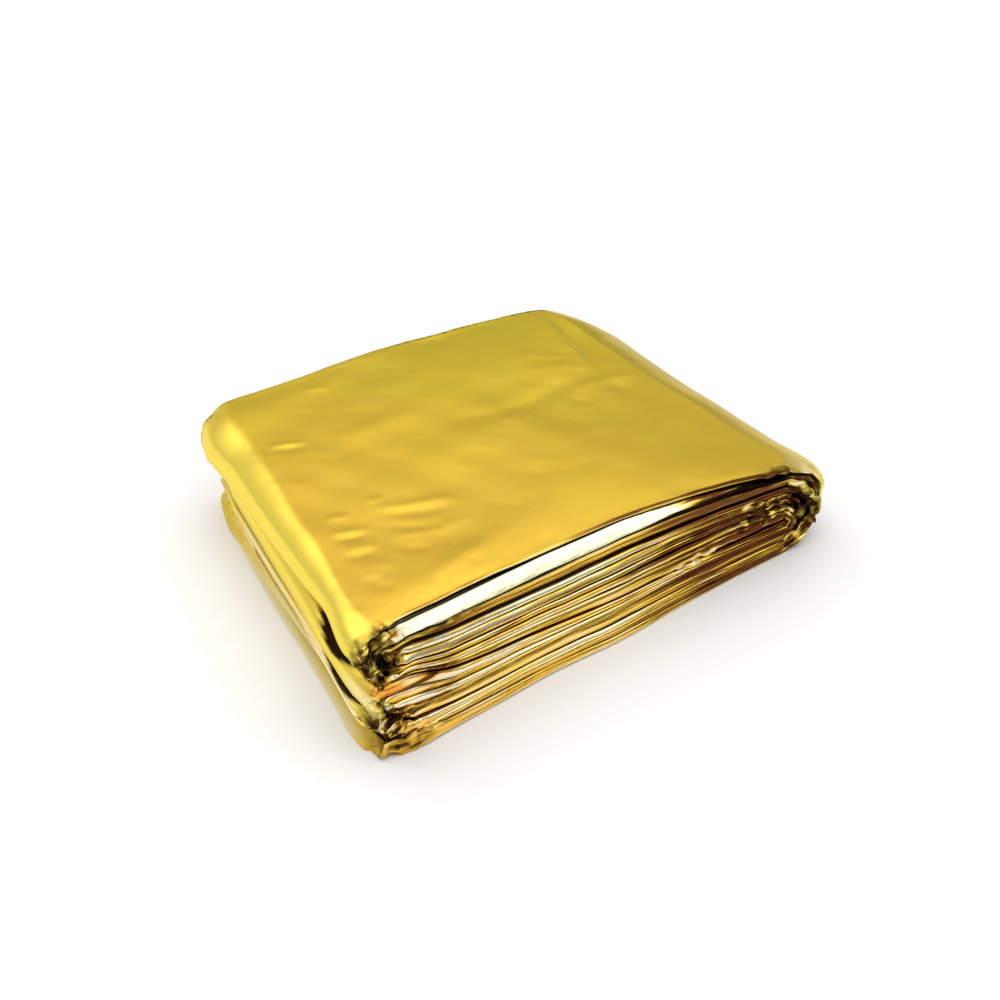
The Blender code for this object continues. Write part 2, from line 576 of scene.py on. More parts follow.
@dataclass(frozen=True)
class Crumple:
    """Sharp small folds in the film around one spot.

    The folds are waves of straight flanks in all directions. They move space itself, so leaves that lie on
    each other move together and never cross. shade says how much painted shade, dark and brown, lies in
    their valleys, and how much painted highlight, pale, lies on their ridges.
    """

    centre: Triple
    radius: Triple
    amplitude: float
    seed: int
    shortest: float = 2.6
    longest: float = 8.0
    waves: int = 9
    shade: float = 0.0
    falloff: float = 1.5
    ridge_highlight_tone: float = -0.7
    valley_shade_tone: float = 1.0
    tone_from_to: tuple[float, float] = (-0.8, -0.2)
    shade_gain: float = 1.2
    shade_start: float = 0.9
    crinkle_reach: float = 1.5

    def moved(self, places: np.ndarray, marks: np.ndarray) -> np.ndarray:
        """Move places by the folds, and shade the film in their valleys.

        Args:
            places: Any array of points.
            marks: The film's marks there, changed in place.

        Returns:
            The points, moved.
        """
        rng = np.random.default_rng(self.seed)
        reach = near(places, self.centre, self.radius, self.falloff)
        total = np.zeros_like(places)
        valley = np.zeros(places.shape[:-1])
        for length in np.geomspace(self.shortest, self.longest, self.waves):
            across, push = rng.normal(size=3), rng.normal(size=3)
            across /= np.linalg.norm(across)
            push /= np.linalg.norm(push)
            turn = places @ across / length + rng.random()
            fold = 4.0 * np.abs(turn - np.floor(turn + 0.5)) - 1.0
            total += fold[..., None] * push * length / self.longest
            valley += fold / math.sqrt(self.waves)
        self.mark(valley, reach, marks)
        return places + self.amplitude * reach[..., None] * total

    def mark(self, valley: np.ndarray, reach: np.ndarray, marks: np.ndarray) -> None:
        """Paint shade into the valleys and pale highlights onto the ridges, and crinkle the film.

        Args:
            valley: How deep each point lies in the folds, about -1 to 1.
            reach: How near it is to the spot.
            marks: The film's marks there, changed in place.
        """
        shaded = self.shade * reach
        painted_shade = ease(valley * self.shade_gain + self.shade_start)
        tone = mix(self.ridge_highlight_tone, self.valley_shade_tone, fade(valley, *self.tone_from_to))
        crinkle = ease(reach * self.crinkle_reach) * min(1.0, self.amplitude)
        marks[..., SHADE] = np.maximum(marks[..., SHADE], painted_shade * shaded)
        marks[..., TONE_AND_PAINTED_LIGHT] = mix(marks[..., TONE_AND_PAINTED_LIGHT], tone, shaded)
        marks[..., CRINKLE] = np.maximum(marks[..., CRINKLE], crinkle)


CRUMPLES = (
    # centre, radius, amplitude, seed, shortest, longest, waves, shade
    Crumple((-72.0, -57.0, 26.5), (6.0, 6.0, 7.0), 1.3, 11, 1.6, 6.0, 10, 0.95),
    Crumple((-67.5, -55.0, 32.4), (4.5, 3.0, 2.2), 0.8, 21, 1.4, 4.0, 9, 0.8),
    Crumple((-71.0, -58.0, 8.4), (6.0, 6.0, 6.0), 1.5, 12, 1.6, 6.0, 10, 1.0),
    Crumple((-65.0, -59.0, 3.5), (7.0, 4.0, 3.5), 0.9, 24, 1.6, 5.0, 9, 0.5),
    Crumple((-73.0, -57.0, 2.5), (4.5, 5.0, 3.5), 0.7, 35, 1.6, 5.0, 9, 0.15),
    Crumple((67.0, -52.0, 12.0), (5.0, 7.0, 7.0), 1.5, 13, 1.6, 7.0, 10, 1.0),
    Crumple((69.5, -52.0, 18.0), (6.0, 5.0, 8.0), 0.7, 25, 4.0, 12.0, 6, 0.0),
    Crumple((58.0, -52.0, 26.6), (8.0, 3.5, 2.2), 0.5, 23, 1.6, 6.0, 9, 0.6),
    Crumple((72.0, 42.0, 14.0), (9.0, 9.0, 10.0), 0.8, 14),
    Crumple((-60.0, 55.0, 12.0), (9.0, 9.0, 10.0), 0.7, 15),
    Crumple((20.0, -54.0, 14.0), (90.0, 6.0, 16.0), 0.06, 16, 5.0, 18.0),
    Crumple((-53.0, -54.0, 28.8), (11.0, 4.0, 1.3), 0.3, 31, 1.4, 5.0, 9, 0.5),
    Crumple((27.0, -53.0, 11.8), (10.0, 4.0, 2.0), 0.45, 32, 1.4, 5.0, 9, 0.0),
    Crumple((50.0, -53.0, 16.0), (9.0, 4.0, 4.0), 0.5, 33, 1.4, 5.0, 9, 0.7),
    Crumple((-58.0, -55.0, 12.0), (7.0, 4.0, 2.0), 0.4, 34, 1.4, 5.0, 9, 0.3),
    Crumple((10.0, 56.0, 14.0), (90.0, 6.0, 16.0), 0.18, 17, 4.0, 14.0),
)


@dataclass(frozen=True)
class PaintedLightSpot:
    """A spot where light or shade is painted on the film: darker and browner for painted shade, paler for a
    painted highlight, more orange for a painted amber reflection.
    """

    centre: Triple
    radius: Triple
    shade: float
    tone: float
    painted_amber_reflection: float = 0.0
    falloff: float = 2.0

    def paint_light(self, places: np.ndarray, marks: np.ndarray) -> None:
        """Paint the light or shade onto the film in the spot.

        Args:
            places: Any array of points.
            marks: The film's marks there, changed in place.
        """
        reach = near(places, self.centre, self.radius, self.falloff)
        shade = mix(marks[..., SHADE], np.minimum(marks[..., SHADE], self.shade), reach)
        marks[..., SHADE] = np.maximum(shade, self.shade * reach)
        marks[..., TONE_AND_PAINTED_LIGHT] = mix(marks[..., TONE_AND_PAINTED_LIGHT], self.tone, reach)
        # painted amber reflection, carried as green below 0
        if self.painted_amber_reflection:
            marks[..., GREEN_AND_PAINTED_AMBER] = mix(marks[..., GREEN_AND_PAINTED_AMBER], -self.painted_amber_reflection, reach)


PAINTED_LIGHT_SPOTS = (
    # centre, radius, shade, tone, painted_amber_reflection
    # painted amber reflection in a pocket and painted shade in its tail, under the upper bundle
    PaintedLightSpot((-70.2, -58.0, 19.2), (4.2, 4.0, 1.8), 0.0, 0.1, 1.0),
    PaintedLightSpot((-60.0, -57.0, 18.4), (8.0, 5.0, 1.0), 0.45, 1.0, 0.8),
    # painted highlight on the pale ends of the middle bundle, with the painted shade taken off
    PaintedLightSpot((-76.5, -54.0, 16.6), (3.6, 8.0, 3.0), 0.0, -0.5),
    PaintedLightSpot((-66.0, -57.0, 14.6), (5.0, 5.0, 1.6), 0.0, -0.8),
    # crinkled right end: painted shade, dark in a pocket and brown in a fold
    PaintedLightSpot((65.5, -53.0, 12.5), (4.0, 7.0, 5.0), 0.9, 1.0),
    PaintedLightSpot((57.0, -52.5, 27.3), (7.0, 3.0, 1.6), 0.35, 1.0),
    # small glints
    PaintedLightSpot((60.0, -53.0, 13.0), (1.4, 5.0, 1.1), 0.0, -1.0),
    PaintedLightSpot((64.6, -53.0, 10.8), (1.4, 5.0, 1.1), 0.0, -1.0),
    PaintedLightSpot((64.1, -53.0, 4.0), (1.8, 5.0, 1.4), 0.0, -0.8),
    PaintedLightSpot((44.6, -53.0, 20.3), (1.8, 5.0, 1.2), 0.0, -1.0),
    PaintedLightSpot((27.0, -54.0, 11.8), (11.0, 5.0, 1.5), 0.0, -0.9),
)


class Section:
    """Points across a run: leaf, front nose, leaf and back nose, in one loop.

    offset goes from 1 on side A to -1 on side B.
    """

    def __init__(
        self,
        leaf_a: int,
        leaf_b: int,
        nose: int,
        back_nose: int,
        crowd: tuple[float, float] = (0.5, 0.5),
    ) -> None:
        """Lay out the loop.

        Args:
            leaf_a: Steps across the leaf on side A.
            leaf_b: Steps across the other leaf.
            nose: Steps round the front nose.
            back_nose: Steps round the back nose.
            crowd: A share of the leaves' steps, and the depth that they reach.
        """
        knots = ((0.0, crowd[0], 1.0), (0.0, crowd[1], 1.0))
        ramp_a = np.interp(np.linspace(1.0, 0.0, leaf_a + 1)[:-1], *knots)
        ramp_b = np.interp(np.linspace(0.0, 1.0, leaf_b + 1)[:-1], *knots)
        nose_n = np.sin(np.linspace(0.5, -0.5, nose + 1)[:-1] * math.pi)
        back_n = np.sin(np.linspace(-0.5, 0.5, back_nose + 1) * math.pi)
        self.depth = np.concatenate([ramp_a, np.zeros(nose), ramp_b, np.ones(back_nose + 1)])[None, :]
        self.offset = np.concatenate([np.ones(leaf_a), nose_n, -np.ones(leaf_b), back_n])[None, :]
        column = np.arange(self.depth.size)
        on_leaf_a = (column <= leaf_a) | (column == column[-1])
        on_nose = (column >= leaf_a) & (column <= leaf_a + nose)
        on_back = column >= leaf_a + nose + leaf_b
        self.on_leaf_a = on_leaf_a.astype(float)[None, :]
        self.on_nose = (on_nose | on_back).astype(float)[None, :]


@dataclass(frozen=True)
class Lip:
    """How a nose's outline falls back from its foremost line.

    tip is the offset of that line, and side_a and side_b are the depths of the
    flanks on the strip's two sides.
    """

    tip: np.ndarray
    side_a: np.ndarray
    side_b: np.ndarray
    roundness: np.ndarray

    def depth(self, offset: np.ndarray) -> np.ndarray:
        """Depth behind the foremost line, at an offset from -1 to 1."""
        over = np.clip((offset - self.tip) / (1.0 - self.tip), 0.0, 1.0)
        under = np.clip((self.tip - offset) / (1.0 + self.tip), 0.0, 1.0)
        return self.side_a * self.rise(over) + self.side_b * self.rise(under)

    def rise(self, share: np.ndarray) -> np.ndarray:
        """Mix of a straight and a round flank."""
        return mix(share, 1.0 - np.sqrt(1.0 - share * share), self.roundness)

    def toward(self, other: "Lip", share: np.ndarray) -> "Lip":
        """A lip part of the way from this one to another."""
        mine, others = vars(self), vars(other)
        return Lip(**{name: mix(mine[name], others[name], share) for name in mine})


def lip_of(run: int, flag: int) -> Lip:
    """A run's lip, with side A up for flag 1 and down for flag -1."""
    rib = RIBS[run]
    up, down = (rib.upper, rib.lower) if flag > 0 else (rib.lower, rib.upper)
    return Lip(np.array(rib.tip * flag), np.array(up), np.array(down), np.array(rib.roundness))


@dataclass(frozen=True)
class Stretch:
    """Part of the folding path: a run, or a turn from one run to the next.

    flag is 1 where side A of the strip faces up on the first run. places are
    shares of the way along a run, or angles of a turn.
    """

    start: int
    end: int
    flag: int
    places: tuple[float, ...]
    bundle: Bundle | None = None

    def column(self) -> np.ndarray:
        """The places as a column, to work with a section's row."""
        return np.array(self.places)[:, None]


@dataclass
class FoldedStrip:
    """A stretch of the pleated strip, folded along the pack's path.

    fill is the part of a run's level that the run takes up. back_lip rounds the back nose and back_gap draws
    it in. ragged lets the turns' edges stand out unevenly, by a few waves of count and height, less at the
    back, and only near the edges. slant cuts the loose ends askew. Pairs of tones, painted shades and
    strengths are those at the left and the right, and groove_shade holds the share of a run's height where
    the painted shade between two runs starts, and where it is full.
    """

    shape: PackShape
    section: Section
    path: list[Stretch]
    fill: float = 0.92
    back_lip: float = 1.2
    back_gap: float = 0.6
    ragged: float = 1.3
    ragged_waves: tuple[tuple[float, float], ...] = ((1.7, 0.8), (4.3, 0.6), (9.1, 0.4))
    ragged_back: float = 0.6
    ragged_power: int = 9
    slant: float = 2.4
    lines_tone: float = 0.6
    lines_strength: tuple[float, float] = (0.7, 1.1)
    extra_tone: tuple[float, float] = (-0.15, 0.2)
    extra_shade: float = 0.25
    back_tone: float = 0.4
    groove_shade: tuple[float, float] = (0.92, 0.97)
    shadow_edge: float = 0.04
    rim_shade: float = 0.5
    rim_green: float = 0.6
    rim_power: int = 8
    rim_fade: float = 0.35
    rim_low: tuple[float, float] = (1.75, 2.05)
    side_shade: float = 0.6
    side_shade_line: tuple[float, float] = (1.5, 0.8)

    def run_places(self, part: Stretch) -> np.ndarray:
        """Points of a run.

        Args:
            part: The run, or a part of it.

        Returns:
            An array of steps by across by 3.
        """
        depth, offset = self.section.depth, self.section.offset
        start = self.shape.run_start(part.start, depth)
        if part.start in LOOSE_ENDS:
            start = start + self.slant * (part.flag * offset + 1.0) / 2
        x = mix(start, self.shape.turn_line(RIGHT_END, depth), part.column())
        y = self.across(part.start, x, lip_of(part.start, part.flag).depth(offset))
        z = self.leaf_levels(part.start, part.flag, x)
        return np.stack(np.broadcast_arrays(x, y, z), axis=-1)

    def leaf_levels(self, run: int, flag: int, x: np.ndarray) -> np.ndarray:
        """Height of every point across a run, where side A faces up for flag 1."""
        top, bottom = self.shape.band(run, x, self.section.depth)
        return (top + bottom) / 2 + flag * self.section.offset * (top - bottom) / 2 * self.fill

    def across(self, run: int, x: np.ndarray, lip: np.ndarray) -> np.ndarray:
        """Y between a run's front and back edge.

        Args:
            run: The run.
            x: Places along the pack.
            lip: How far each falls back from the foremost line.

        Returns:
            Y at each place.
        """
        front = self.shape.front(run, x) + lip + FRONT_SWAY.at(run, x)
        back_lip = self.back_lip * (1.0 - np.sqrt(1.0 - self.section.offset**2))
        back = self.shape.back(x) - back_lip - self.back_gap - BACK_SWAY.at(run, x)
        return mix(front, back, self.section.depth)

    def turn_places(self, part: Stretch) -> np.ndarray:
        """Points of a turn.

        Args:
            part: The turn.

        Returns:
            An array of steps by across by 3.
        """
        bundle, angle = part.bundle, part.column()
        share = (1.0 - np.cos(angle)) / 2
        line = self.shape.turn_line(bundle, self.section.depth)
        first = self.leaf_levels(part.start, part.flag, line)
        last = self.leaf_levels(part.end, -part.flag, line)
        half = (first - last) / 2
        bulge = np.sin(angle) ** bundle.pinch
        x = line + bundle.side.value * bundle.reach * np.abs(half) * bulge
        z = (first + last) / 2 + half * np.cos(angle)
        lip = lip_of(part.start, part.flag).toward(lip_of(part.end, -part.flag), share)
        drop = lip.depth(np.broadcast_to(self.section.offset, x.shape))
        y = mix(self.across(part.start, x, drop), self.across(part.end, x, drop), share)
        y = y + self.ragged_edge(part)
        return np.stack(np.broadcast_arrays(x, y, z), axis=-1)

    def ragged_edge(self, part: Stretch) -> np.ndarray:
        """How far each layer of a turn stands out or is drawn in at its two edges.

        Args:
            part: The turn.

        Returns:
            The distance at each step and across.
        """
        angle, depth = part.column(), self.section.depth
        seed = Seed.TURN + len(RIBS) * part.start + part.end
        phases = spread(seed, len(self.ragged_waves)) * math.tau
        total = np.zeros_like(angle)
        for (count, height), phase in zip(self.ragged_waves, phases):
            total = total + height * np.sin(count * angle + phase)
        power = self.ragged_power
        edges = (1.0 - depth) ** power - self.ragged_back * depth**power
        return self.ragged * np.sin(angle) * total * edges

    def places(self) -> np.ndarray:
        """All points of the strip."""
        blocks = []
        for part in self.path:
            blocks.append(self.run_places(part) if part.bundle is None else self.turn_places(part))
        return np.concatenate(blocks)

    def marks(self, places: np.ndarray) -> np.ndarray:
        """The film's marks at every point of the strip.

        Args:
            places: The strip's points.

        Returns:
            An array of steps by across by 4.
        """
        blocks, done = [], 0
        for part in self.path:
            x = places[done : done + len(part.places), :, 0]
            blocks.append(self.run_marks(part.start, part.flag, x))
            if part.bundle is not None:
                blocks[-1] = self.turn_marks(part, blocks[-1], x)
            done += len(part.places)
        marks = np.concatenate(blocks)
        self.shade_openings(places, marks)
        self.paint_foot_highlight(places, marks)
        return marks

    def run_marks(self, run: int, flag: int, x: np.ndarray) -> np.ndarray:
        """The film's marks on a run: painted shade, lines and tone on its nose, the lines and tone mostly
        painted highlight and shade; plain leaves.

        Args:
            run: The run.
            flag: 1 where side A faces up on it.
            x: Places along the pack.

        Returns:
            An array of steps by across by 4.
        """
        rib, on_nose = RIBS[run], self.section.on_nose
        height = (flag * self.section.offset + 1.0) / 2
        # painted shade on the lower part of the nose, and in the groove at its top, between runs
        shadow = np.interp(x, HEIGHT_AT, rib.shadow) + SHADOW_SWAY.at(run, x)
        shaded = fade(height, shadow + self.shadow_edge, shadow - self.shadow_edge)
        if run > 0:
            shaded = np.maximum(shaded, fade(height, *self.groove_shade))
        darkest = min(1.0, rib.depth + self.extra_shade)
        shaded = shaded * mix(rib.depth, darkest, fade(x, *DEEPER_SHADE_FROM_TO)) * on_nose
        # pale tone is a painted highlight and brown tone is painted shade, with a random sway and fine lines
        tone = np.interp(x, TONE_AT, rib.tone) + TONE_SWAY.at(run, x)
        tone = tone + mix(*self.extra_tone, fade(x, *BROWNER_FROM_TO))
        tone = tone + mix(*self.lines_strength, fade(x, *LINES_FROM_TO)) * self.lines(run, height, x)
        tone = tone * on_nose * mix(1.0, self.back_tone, self.section.depth)
        return np.stack(np.broadcast_arrays(shaded, tone, on_nose, 0.0), axis=-1)

    def lines(self, run: int, height: np.ndarray, x: np.ndarray) -> np.ndarray:
        """Fine lines of painted shade and highlight along a run, browner and paler.

        Args:
            run: The run.
            height: Heights within it, from 0 to 1.
            x: Places along the pack.

        Returns:
            Their tone, from about -1 to 1.
        """
        thick = PACK_HEIGHT * RIBS[run].share[1] / 100.0
        total = np.zeros(x.shape)
        for family, phase in zip(FINE_LINES, spread(Seed.LINES + run, len(FINE_LINES))):
            turns = family.per_mm * thick * height + phase + family.drift.at(run, x)
            total = total + np.sin(math.tau * turns)
        return self.lines_tone * total

    def turn_marks(self, part: Stretch, block: np.ndarray, x: np.ndarray) -> np.ndarray:
        """The film's marks on a turn, from those of its first run to its last one's.

        Args:
            part: The turn.
            block: The marks of its first run at its places.
            x: Places along the pack.

        Returns:
            The turn's marks, greener in its middle.
        """
        angle = part.column()
        share = ((1.0 - np.cos(angle)) / 2)[..., None]
        block = mix(block, self.run_marks(part.end, -part.flag, x), share)
        block[..., GREEN_AND_PAINTED_AMBER] = np.sqrt(np.sin(angle))
        rank = min(part.start, part.end)
        if part.bundle is RIGHT_END and rank < len(RIGHT_EDGES):
            self.mark_right_edge(rank, angle if part.start < part.end else math.pi - angle, block)
        return block

    def mark_right_edge(self, rank: int, angle: np.ndarray, block: np.ndarray) -> None:
        """Paint a nested edge at the right end: a pale painted highlight or brown painted shade, then darker
        painted shade lower down.

        Args:
            rank: Its place from the outside in.
            angle: The angle of each step from the top.
            block: The marks of its steps, changed in place.
        """
        mark = RIGHT_EDGES[rank]
        low = fade(angle, *self.rim_low)
        edge = (1.0 - self.section.depth) ** self.rim_power * ease(np.sin(angle) / self.rim_fade)
        # painted shade along the outermost edge, over its pale grazing reflection, and less green there
        if rank == 0:
            block[..., SHADE] = np.maximum(block[..., SHADE], self.rim_shade * np.sqrt(np.sin(angle)))
            block[..., GREEN_AND_PAINTED_AMBER] *= self.rim_green
        block[..., SHADE] = mix(block[..., SHADE], mix(mark.shade, mark.low_shade, low), edge)
        block[..., TONE_AND_PAINTED_LIGHT] = mix(block[..., TONE_AND_PAINTED_LIGHT], mix(mark.tone, mark.low_tone, low), edge)

    def shade_openings(self, places: np.ndarray, marks: np.ndarray) -> None:
        """Paint shade into the openings, and draw a line of painted shade along the left side.

        Args:
            places: The strip's points.
            marks: The film's marks there, changed in place.
        """
        x, z, depth = places[..., 0], places[..., 2], self.section.depth
        for opening in OPENINGS:
            rise = z - self.shape.level(opening.under + 1, x, depth)
            painted_shade = opening.painted_shade_at(rise, opening.size(x, depth))
            line = fade(np.abs(rise), *self.side_shade_line) * np.maximum(marks[..., GREEN_AND_PAINTED_AMBER], 0.0)
            painted_shade = np.maximum(painted_shade, np.where(x < 0.0, self.side_shade * line, 0.0))
            marks[..., SHADE] = np.maximum(marks[..., SHADE], painted_shade)

    def paint_foot_highlight(self, places: np.ndarray, marks: np.ndarray) -> None:
        """Paint a pale, greenish highlight on the left side of the lowest bundle.

        Args:
            places: The strip's points.
            marks: The film's marks there, changed in place.
        """
        patch = FOOT_HIGHLIGHT
        foot = fade(places[..., 0], *patch.x) * fade(places[..., 2], *patch.z)
        foot = foot * fade(self.section.depth, *patch.depth)
        marks[..., TONE_AND_PAINTED_LIGHT] = mix(marks[..., TONE_AND_PAINTED_LIGHT], patch.tone, foot * (1.0 - marks[..., SHADE]))
        marks[..., GREEN_AND_PAINTED_AMBER] = np.maximum(marks[..., GREEN_AND_PAINTED_AMBER], foot)

    def shaped(self, places: np.ndarray) -> np.ndarray:
        """Add what a plain strip does not have; nothing here."""
        return places

    def build(self, name: str) -> bpy.types.Object:
        """Model the strip.

        Args:
            name: The piece's name.

        Returns:
            The new object, its place in its mesh.
        """
        places = self.places()
        marks = self.marks(places)
        places = self.shaped(places)
        plain = places
        for crumple in CRUMPLES:
            places = crumple.moved(places, marks)
        for tint in PAINTED_LIGHT_SPOTS:
            tint.paint_light(plain, marks)
        places[..., 2] = np.maximum(places[..., 2], FLOOR_GAP)
        return tube_object(name, places * MM, marks)


def tube_object(name: str, places: np.ndarray, marks: np.ndarray) -> bpy.types.Object:
    """Bend a flat grid into a closed tube through rows of points.

    Args:
        name: The object's name.
        places: Steps by across by 3, in metres; the last column meets the first.
        marks: Steps by across by 4, the film's marks there.

    Returns:
        The object, closed at both ends, its faces out.
    """
    steps, across = places.shape[0] - 1, places.shape[1] - 1
    tube = bmesh.new()
    bmesh.ops.create_grid(tube, x_segments=steps, y_segments=across, size=1.0)
    layers = [tube.verts.layers.float.new(mark) for mark in FILM_MARKS]
    for corner in tube.verts:
        step = round((corner.co.x + 1.0) / 2 * steps)
        column = round((corner.co.y + 1.0) / 2 * across)
        corner.co = places[step, column]
        for layer, value in zip(layers, marks[step, column]):
            corner[layer] = value
    bmesh.ops.remove_doubles(tube, verts=tube.verts, dist=WELD)
    rims = [edge for edge in tube.edges if edge.is_boundary]
    for rim in rims:
        rim.smooth = False
    bmesh.ops.holes_fill(tube, edges=rims, sides=0)
    bmesh.ops.recalc_face_normals(tube, faces=tube.faces)
    piece = linked(name, tube)
    piece.data.shade_smooth()
    return piece


def linked(name: str, shape: bmesh.types.BMesh) -> bpy.types.Object:
    """Turn a bmesh into an object in the scene.

    Args:
        name: The object's and its mesh's name.
        shape: The bmesh, which is freed.

    Returns:
        The object.
    """
    mesh = bpy.data.meshes.new(name)
    shape.to_mesh(mesh)
    shape.free()
    piece = bpy.data.objects.new(name, mesh)
    bpy.context.collection.objects.link(piece)
    return piece


@dataclass(frozen=True)
class FoldPath:
    """The strip's path from its inner loose end to its outer one.

    The steps along a run are closer in a share of it at each end.
    """

    first_run: int = 14
    run_length: float = 107.0
    step: float = 1.4
    end_share: float = 0.09
    end_steps: int = 18
    fewest_turn_steps: int = 6

    def stretches(self) -> list[Stretch]:
        """Follow the path.

        Returns:
            Runs and turns, in order.
        """
        end = np.linspace(0.0, self.end_share, self.end_steps + 1)[:-1]
        middle = np.linspace(self.end_share, 1.0 - self.end_share, round(self.run_length / self.step))
        shares = np.concatenate([end, middle, 1.0 - end[::-1]])
        run, flag, path = self.first_run, 1, []
        while True:
            path.append(Stretch(run, run, flag, tuple(shares)))
            run, flag = self.add_turn(path, RIGHT_END, run, flag)
            path.append(Stretch(run, run, flag, tuple(shares[::-1])))
            if run in LOOSE_ENDS:
                return path
            run, flag = self.add_turn(path, left_bundle(run), run, flag)

    def add_turn(self, path: list[Stretch], bundle: Bundle, run: int, flag: int) -> tuple[int, int]:
        """Add the turn that leaves a run.

        Args:
            path: The path so far, which grows by the turn.
            bundle: The bundle that the turn is in.
            run: The run that it leaves.
            flag: 1 where side A faces up on that run.

        Returns:
            The run that the turn reaches, and the flag there.
        """
        end = bundle.top + bundle.bottom - run
        share = abs(end - run) / (bundle.bottom - bundle.top)
        steps = max(self.fewest_turn_steps, round(bundle.steps * share))
        path.append(Stretch(run, end, flag, turn_angles(steps), bundle))
        return end, -flag


def turn_angles(steps: int) -> tuple[float, ...]:
    """The angles of a turn without its two ends, which its runs have."""
    return tuple(np.linspace(0.0, math.pi, steps + 1)[1:-1])


def resampled(part: Stretch, count: int, first: float = 0.0, last: float = 1.0) -> Stretch:
    """The same stretch in another number of steps, or a part of it.

    Args:
        part: The stretch.
        count: Steps.
        first: Share of a run at which to begin.
        last: Share of a run at which to end.

    Returns:
        The new stretch.
    """
    if part.bundle is None:
        low, high = part.places[0], part.places[-1]
        places = tuple(np.linspace(mix(low, high, first), mix(low, high, last), count + 1))
    else:
        places = turn_angles(count)
    return replace(part, places=places)


class Fold(Enum):
    """The profile of a crease."""

    RIDGE = "ridge"
    STEP = "step"


@dataclass(frozen=True)
class Crease:
    """A crease along a line of points (x, y). A negative height is a trough.

    A step is high on its left side and fades away from the line over its width.
    """

    points: tuple[tuple[float, float], ...]
    height: float
    width: float
    kind: Fold = Fold.RIDGE

    def lift(self, x: np.ndarray, y: np.ndarray, breadth: float) -> np.ndarray:
        """How far the crease lifts the film.

        Args:
            x: Places along the pack.
            y: Places across it.
            breadth: Scale of a ridge's width.

        Returns:
            The lift at each place.
        """
        nearest = np.full(x.shape, np.inf)
        side = np.zeros(x.shape)
        taper = np.zeros(x.shape)
        lengths = [math.dist(a, b) for a, b in zip(self.points, self.points[1:])]
        done = 0.0
        for (ax, ay), (bx, by), length in zip(self.points, self.points[1:], lengths):
            ux, uy = (bx - ax) / length, (by - ay) / length
            along = np.clip((x - ax) * ux + (y - ay) * uy, 0.0, length)
            dx, dy = x - ax - along * ux, y - ay - along * uy
            away = np.hypot(dx, dy)
            closer = away < nearest
            nearest = np.where(closer, away, nearest)
            side = np.where(closer, ux * dy - uy * dx, side)
            share = (done + along) / sum(lengths)
            taper = np.where(closer, 4.0 * share * (1.0 - share), taper)
            done += length
        height = self.height * np.clip(taper, 0.0, 1.0)
        if self.kind is Fold.RIDGE:
            return height * np.exp(-((nearest / self.width / breadth) ** 2))
        return height * np.tanh(side) / 2 * np.exp(-((nearest / self.width) ** 2))


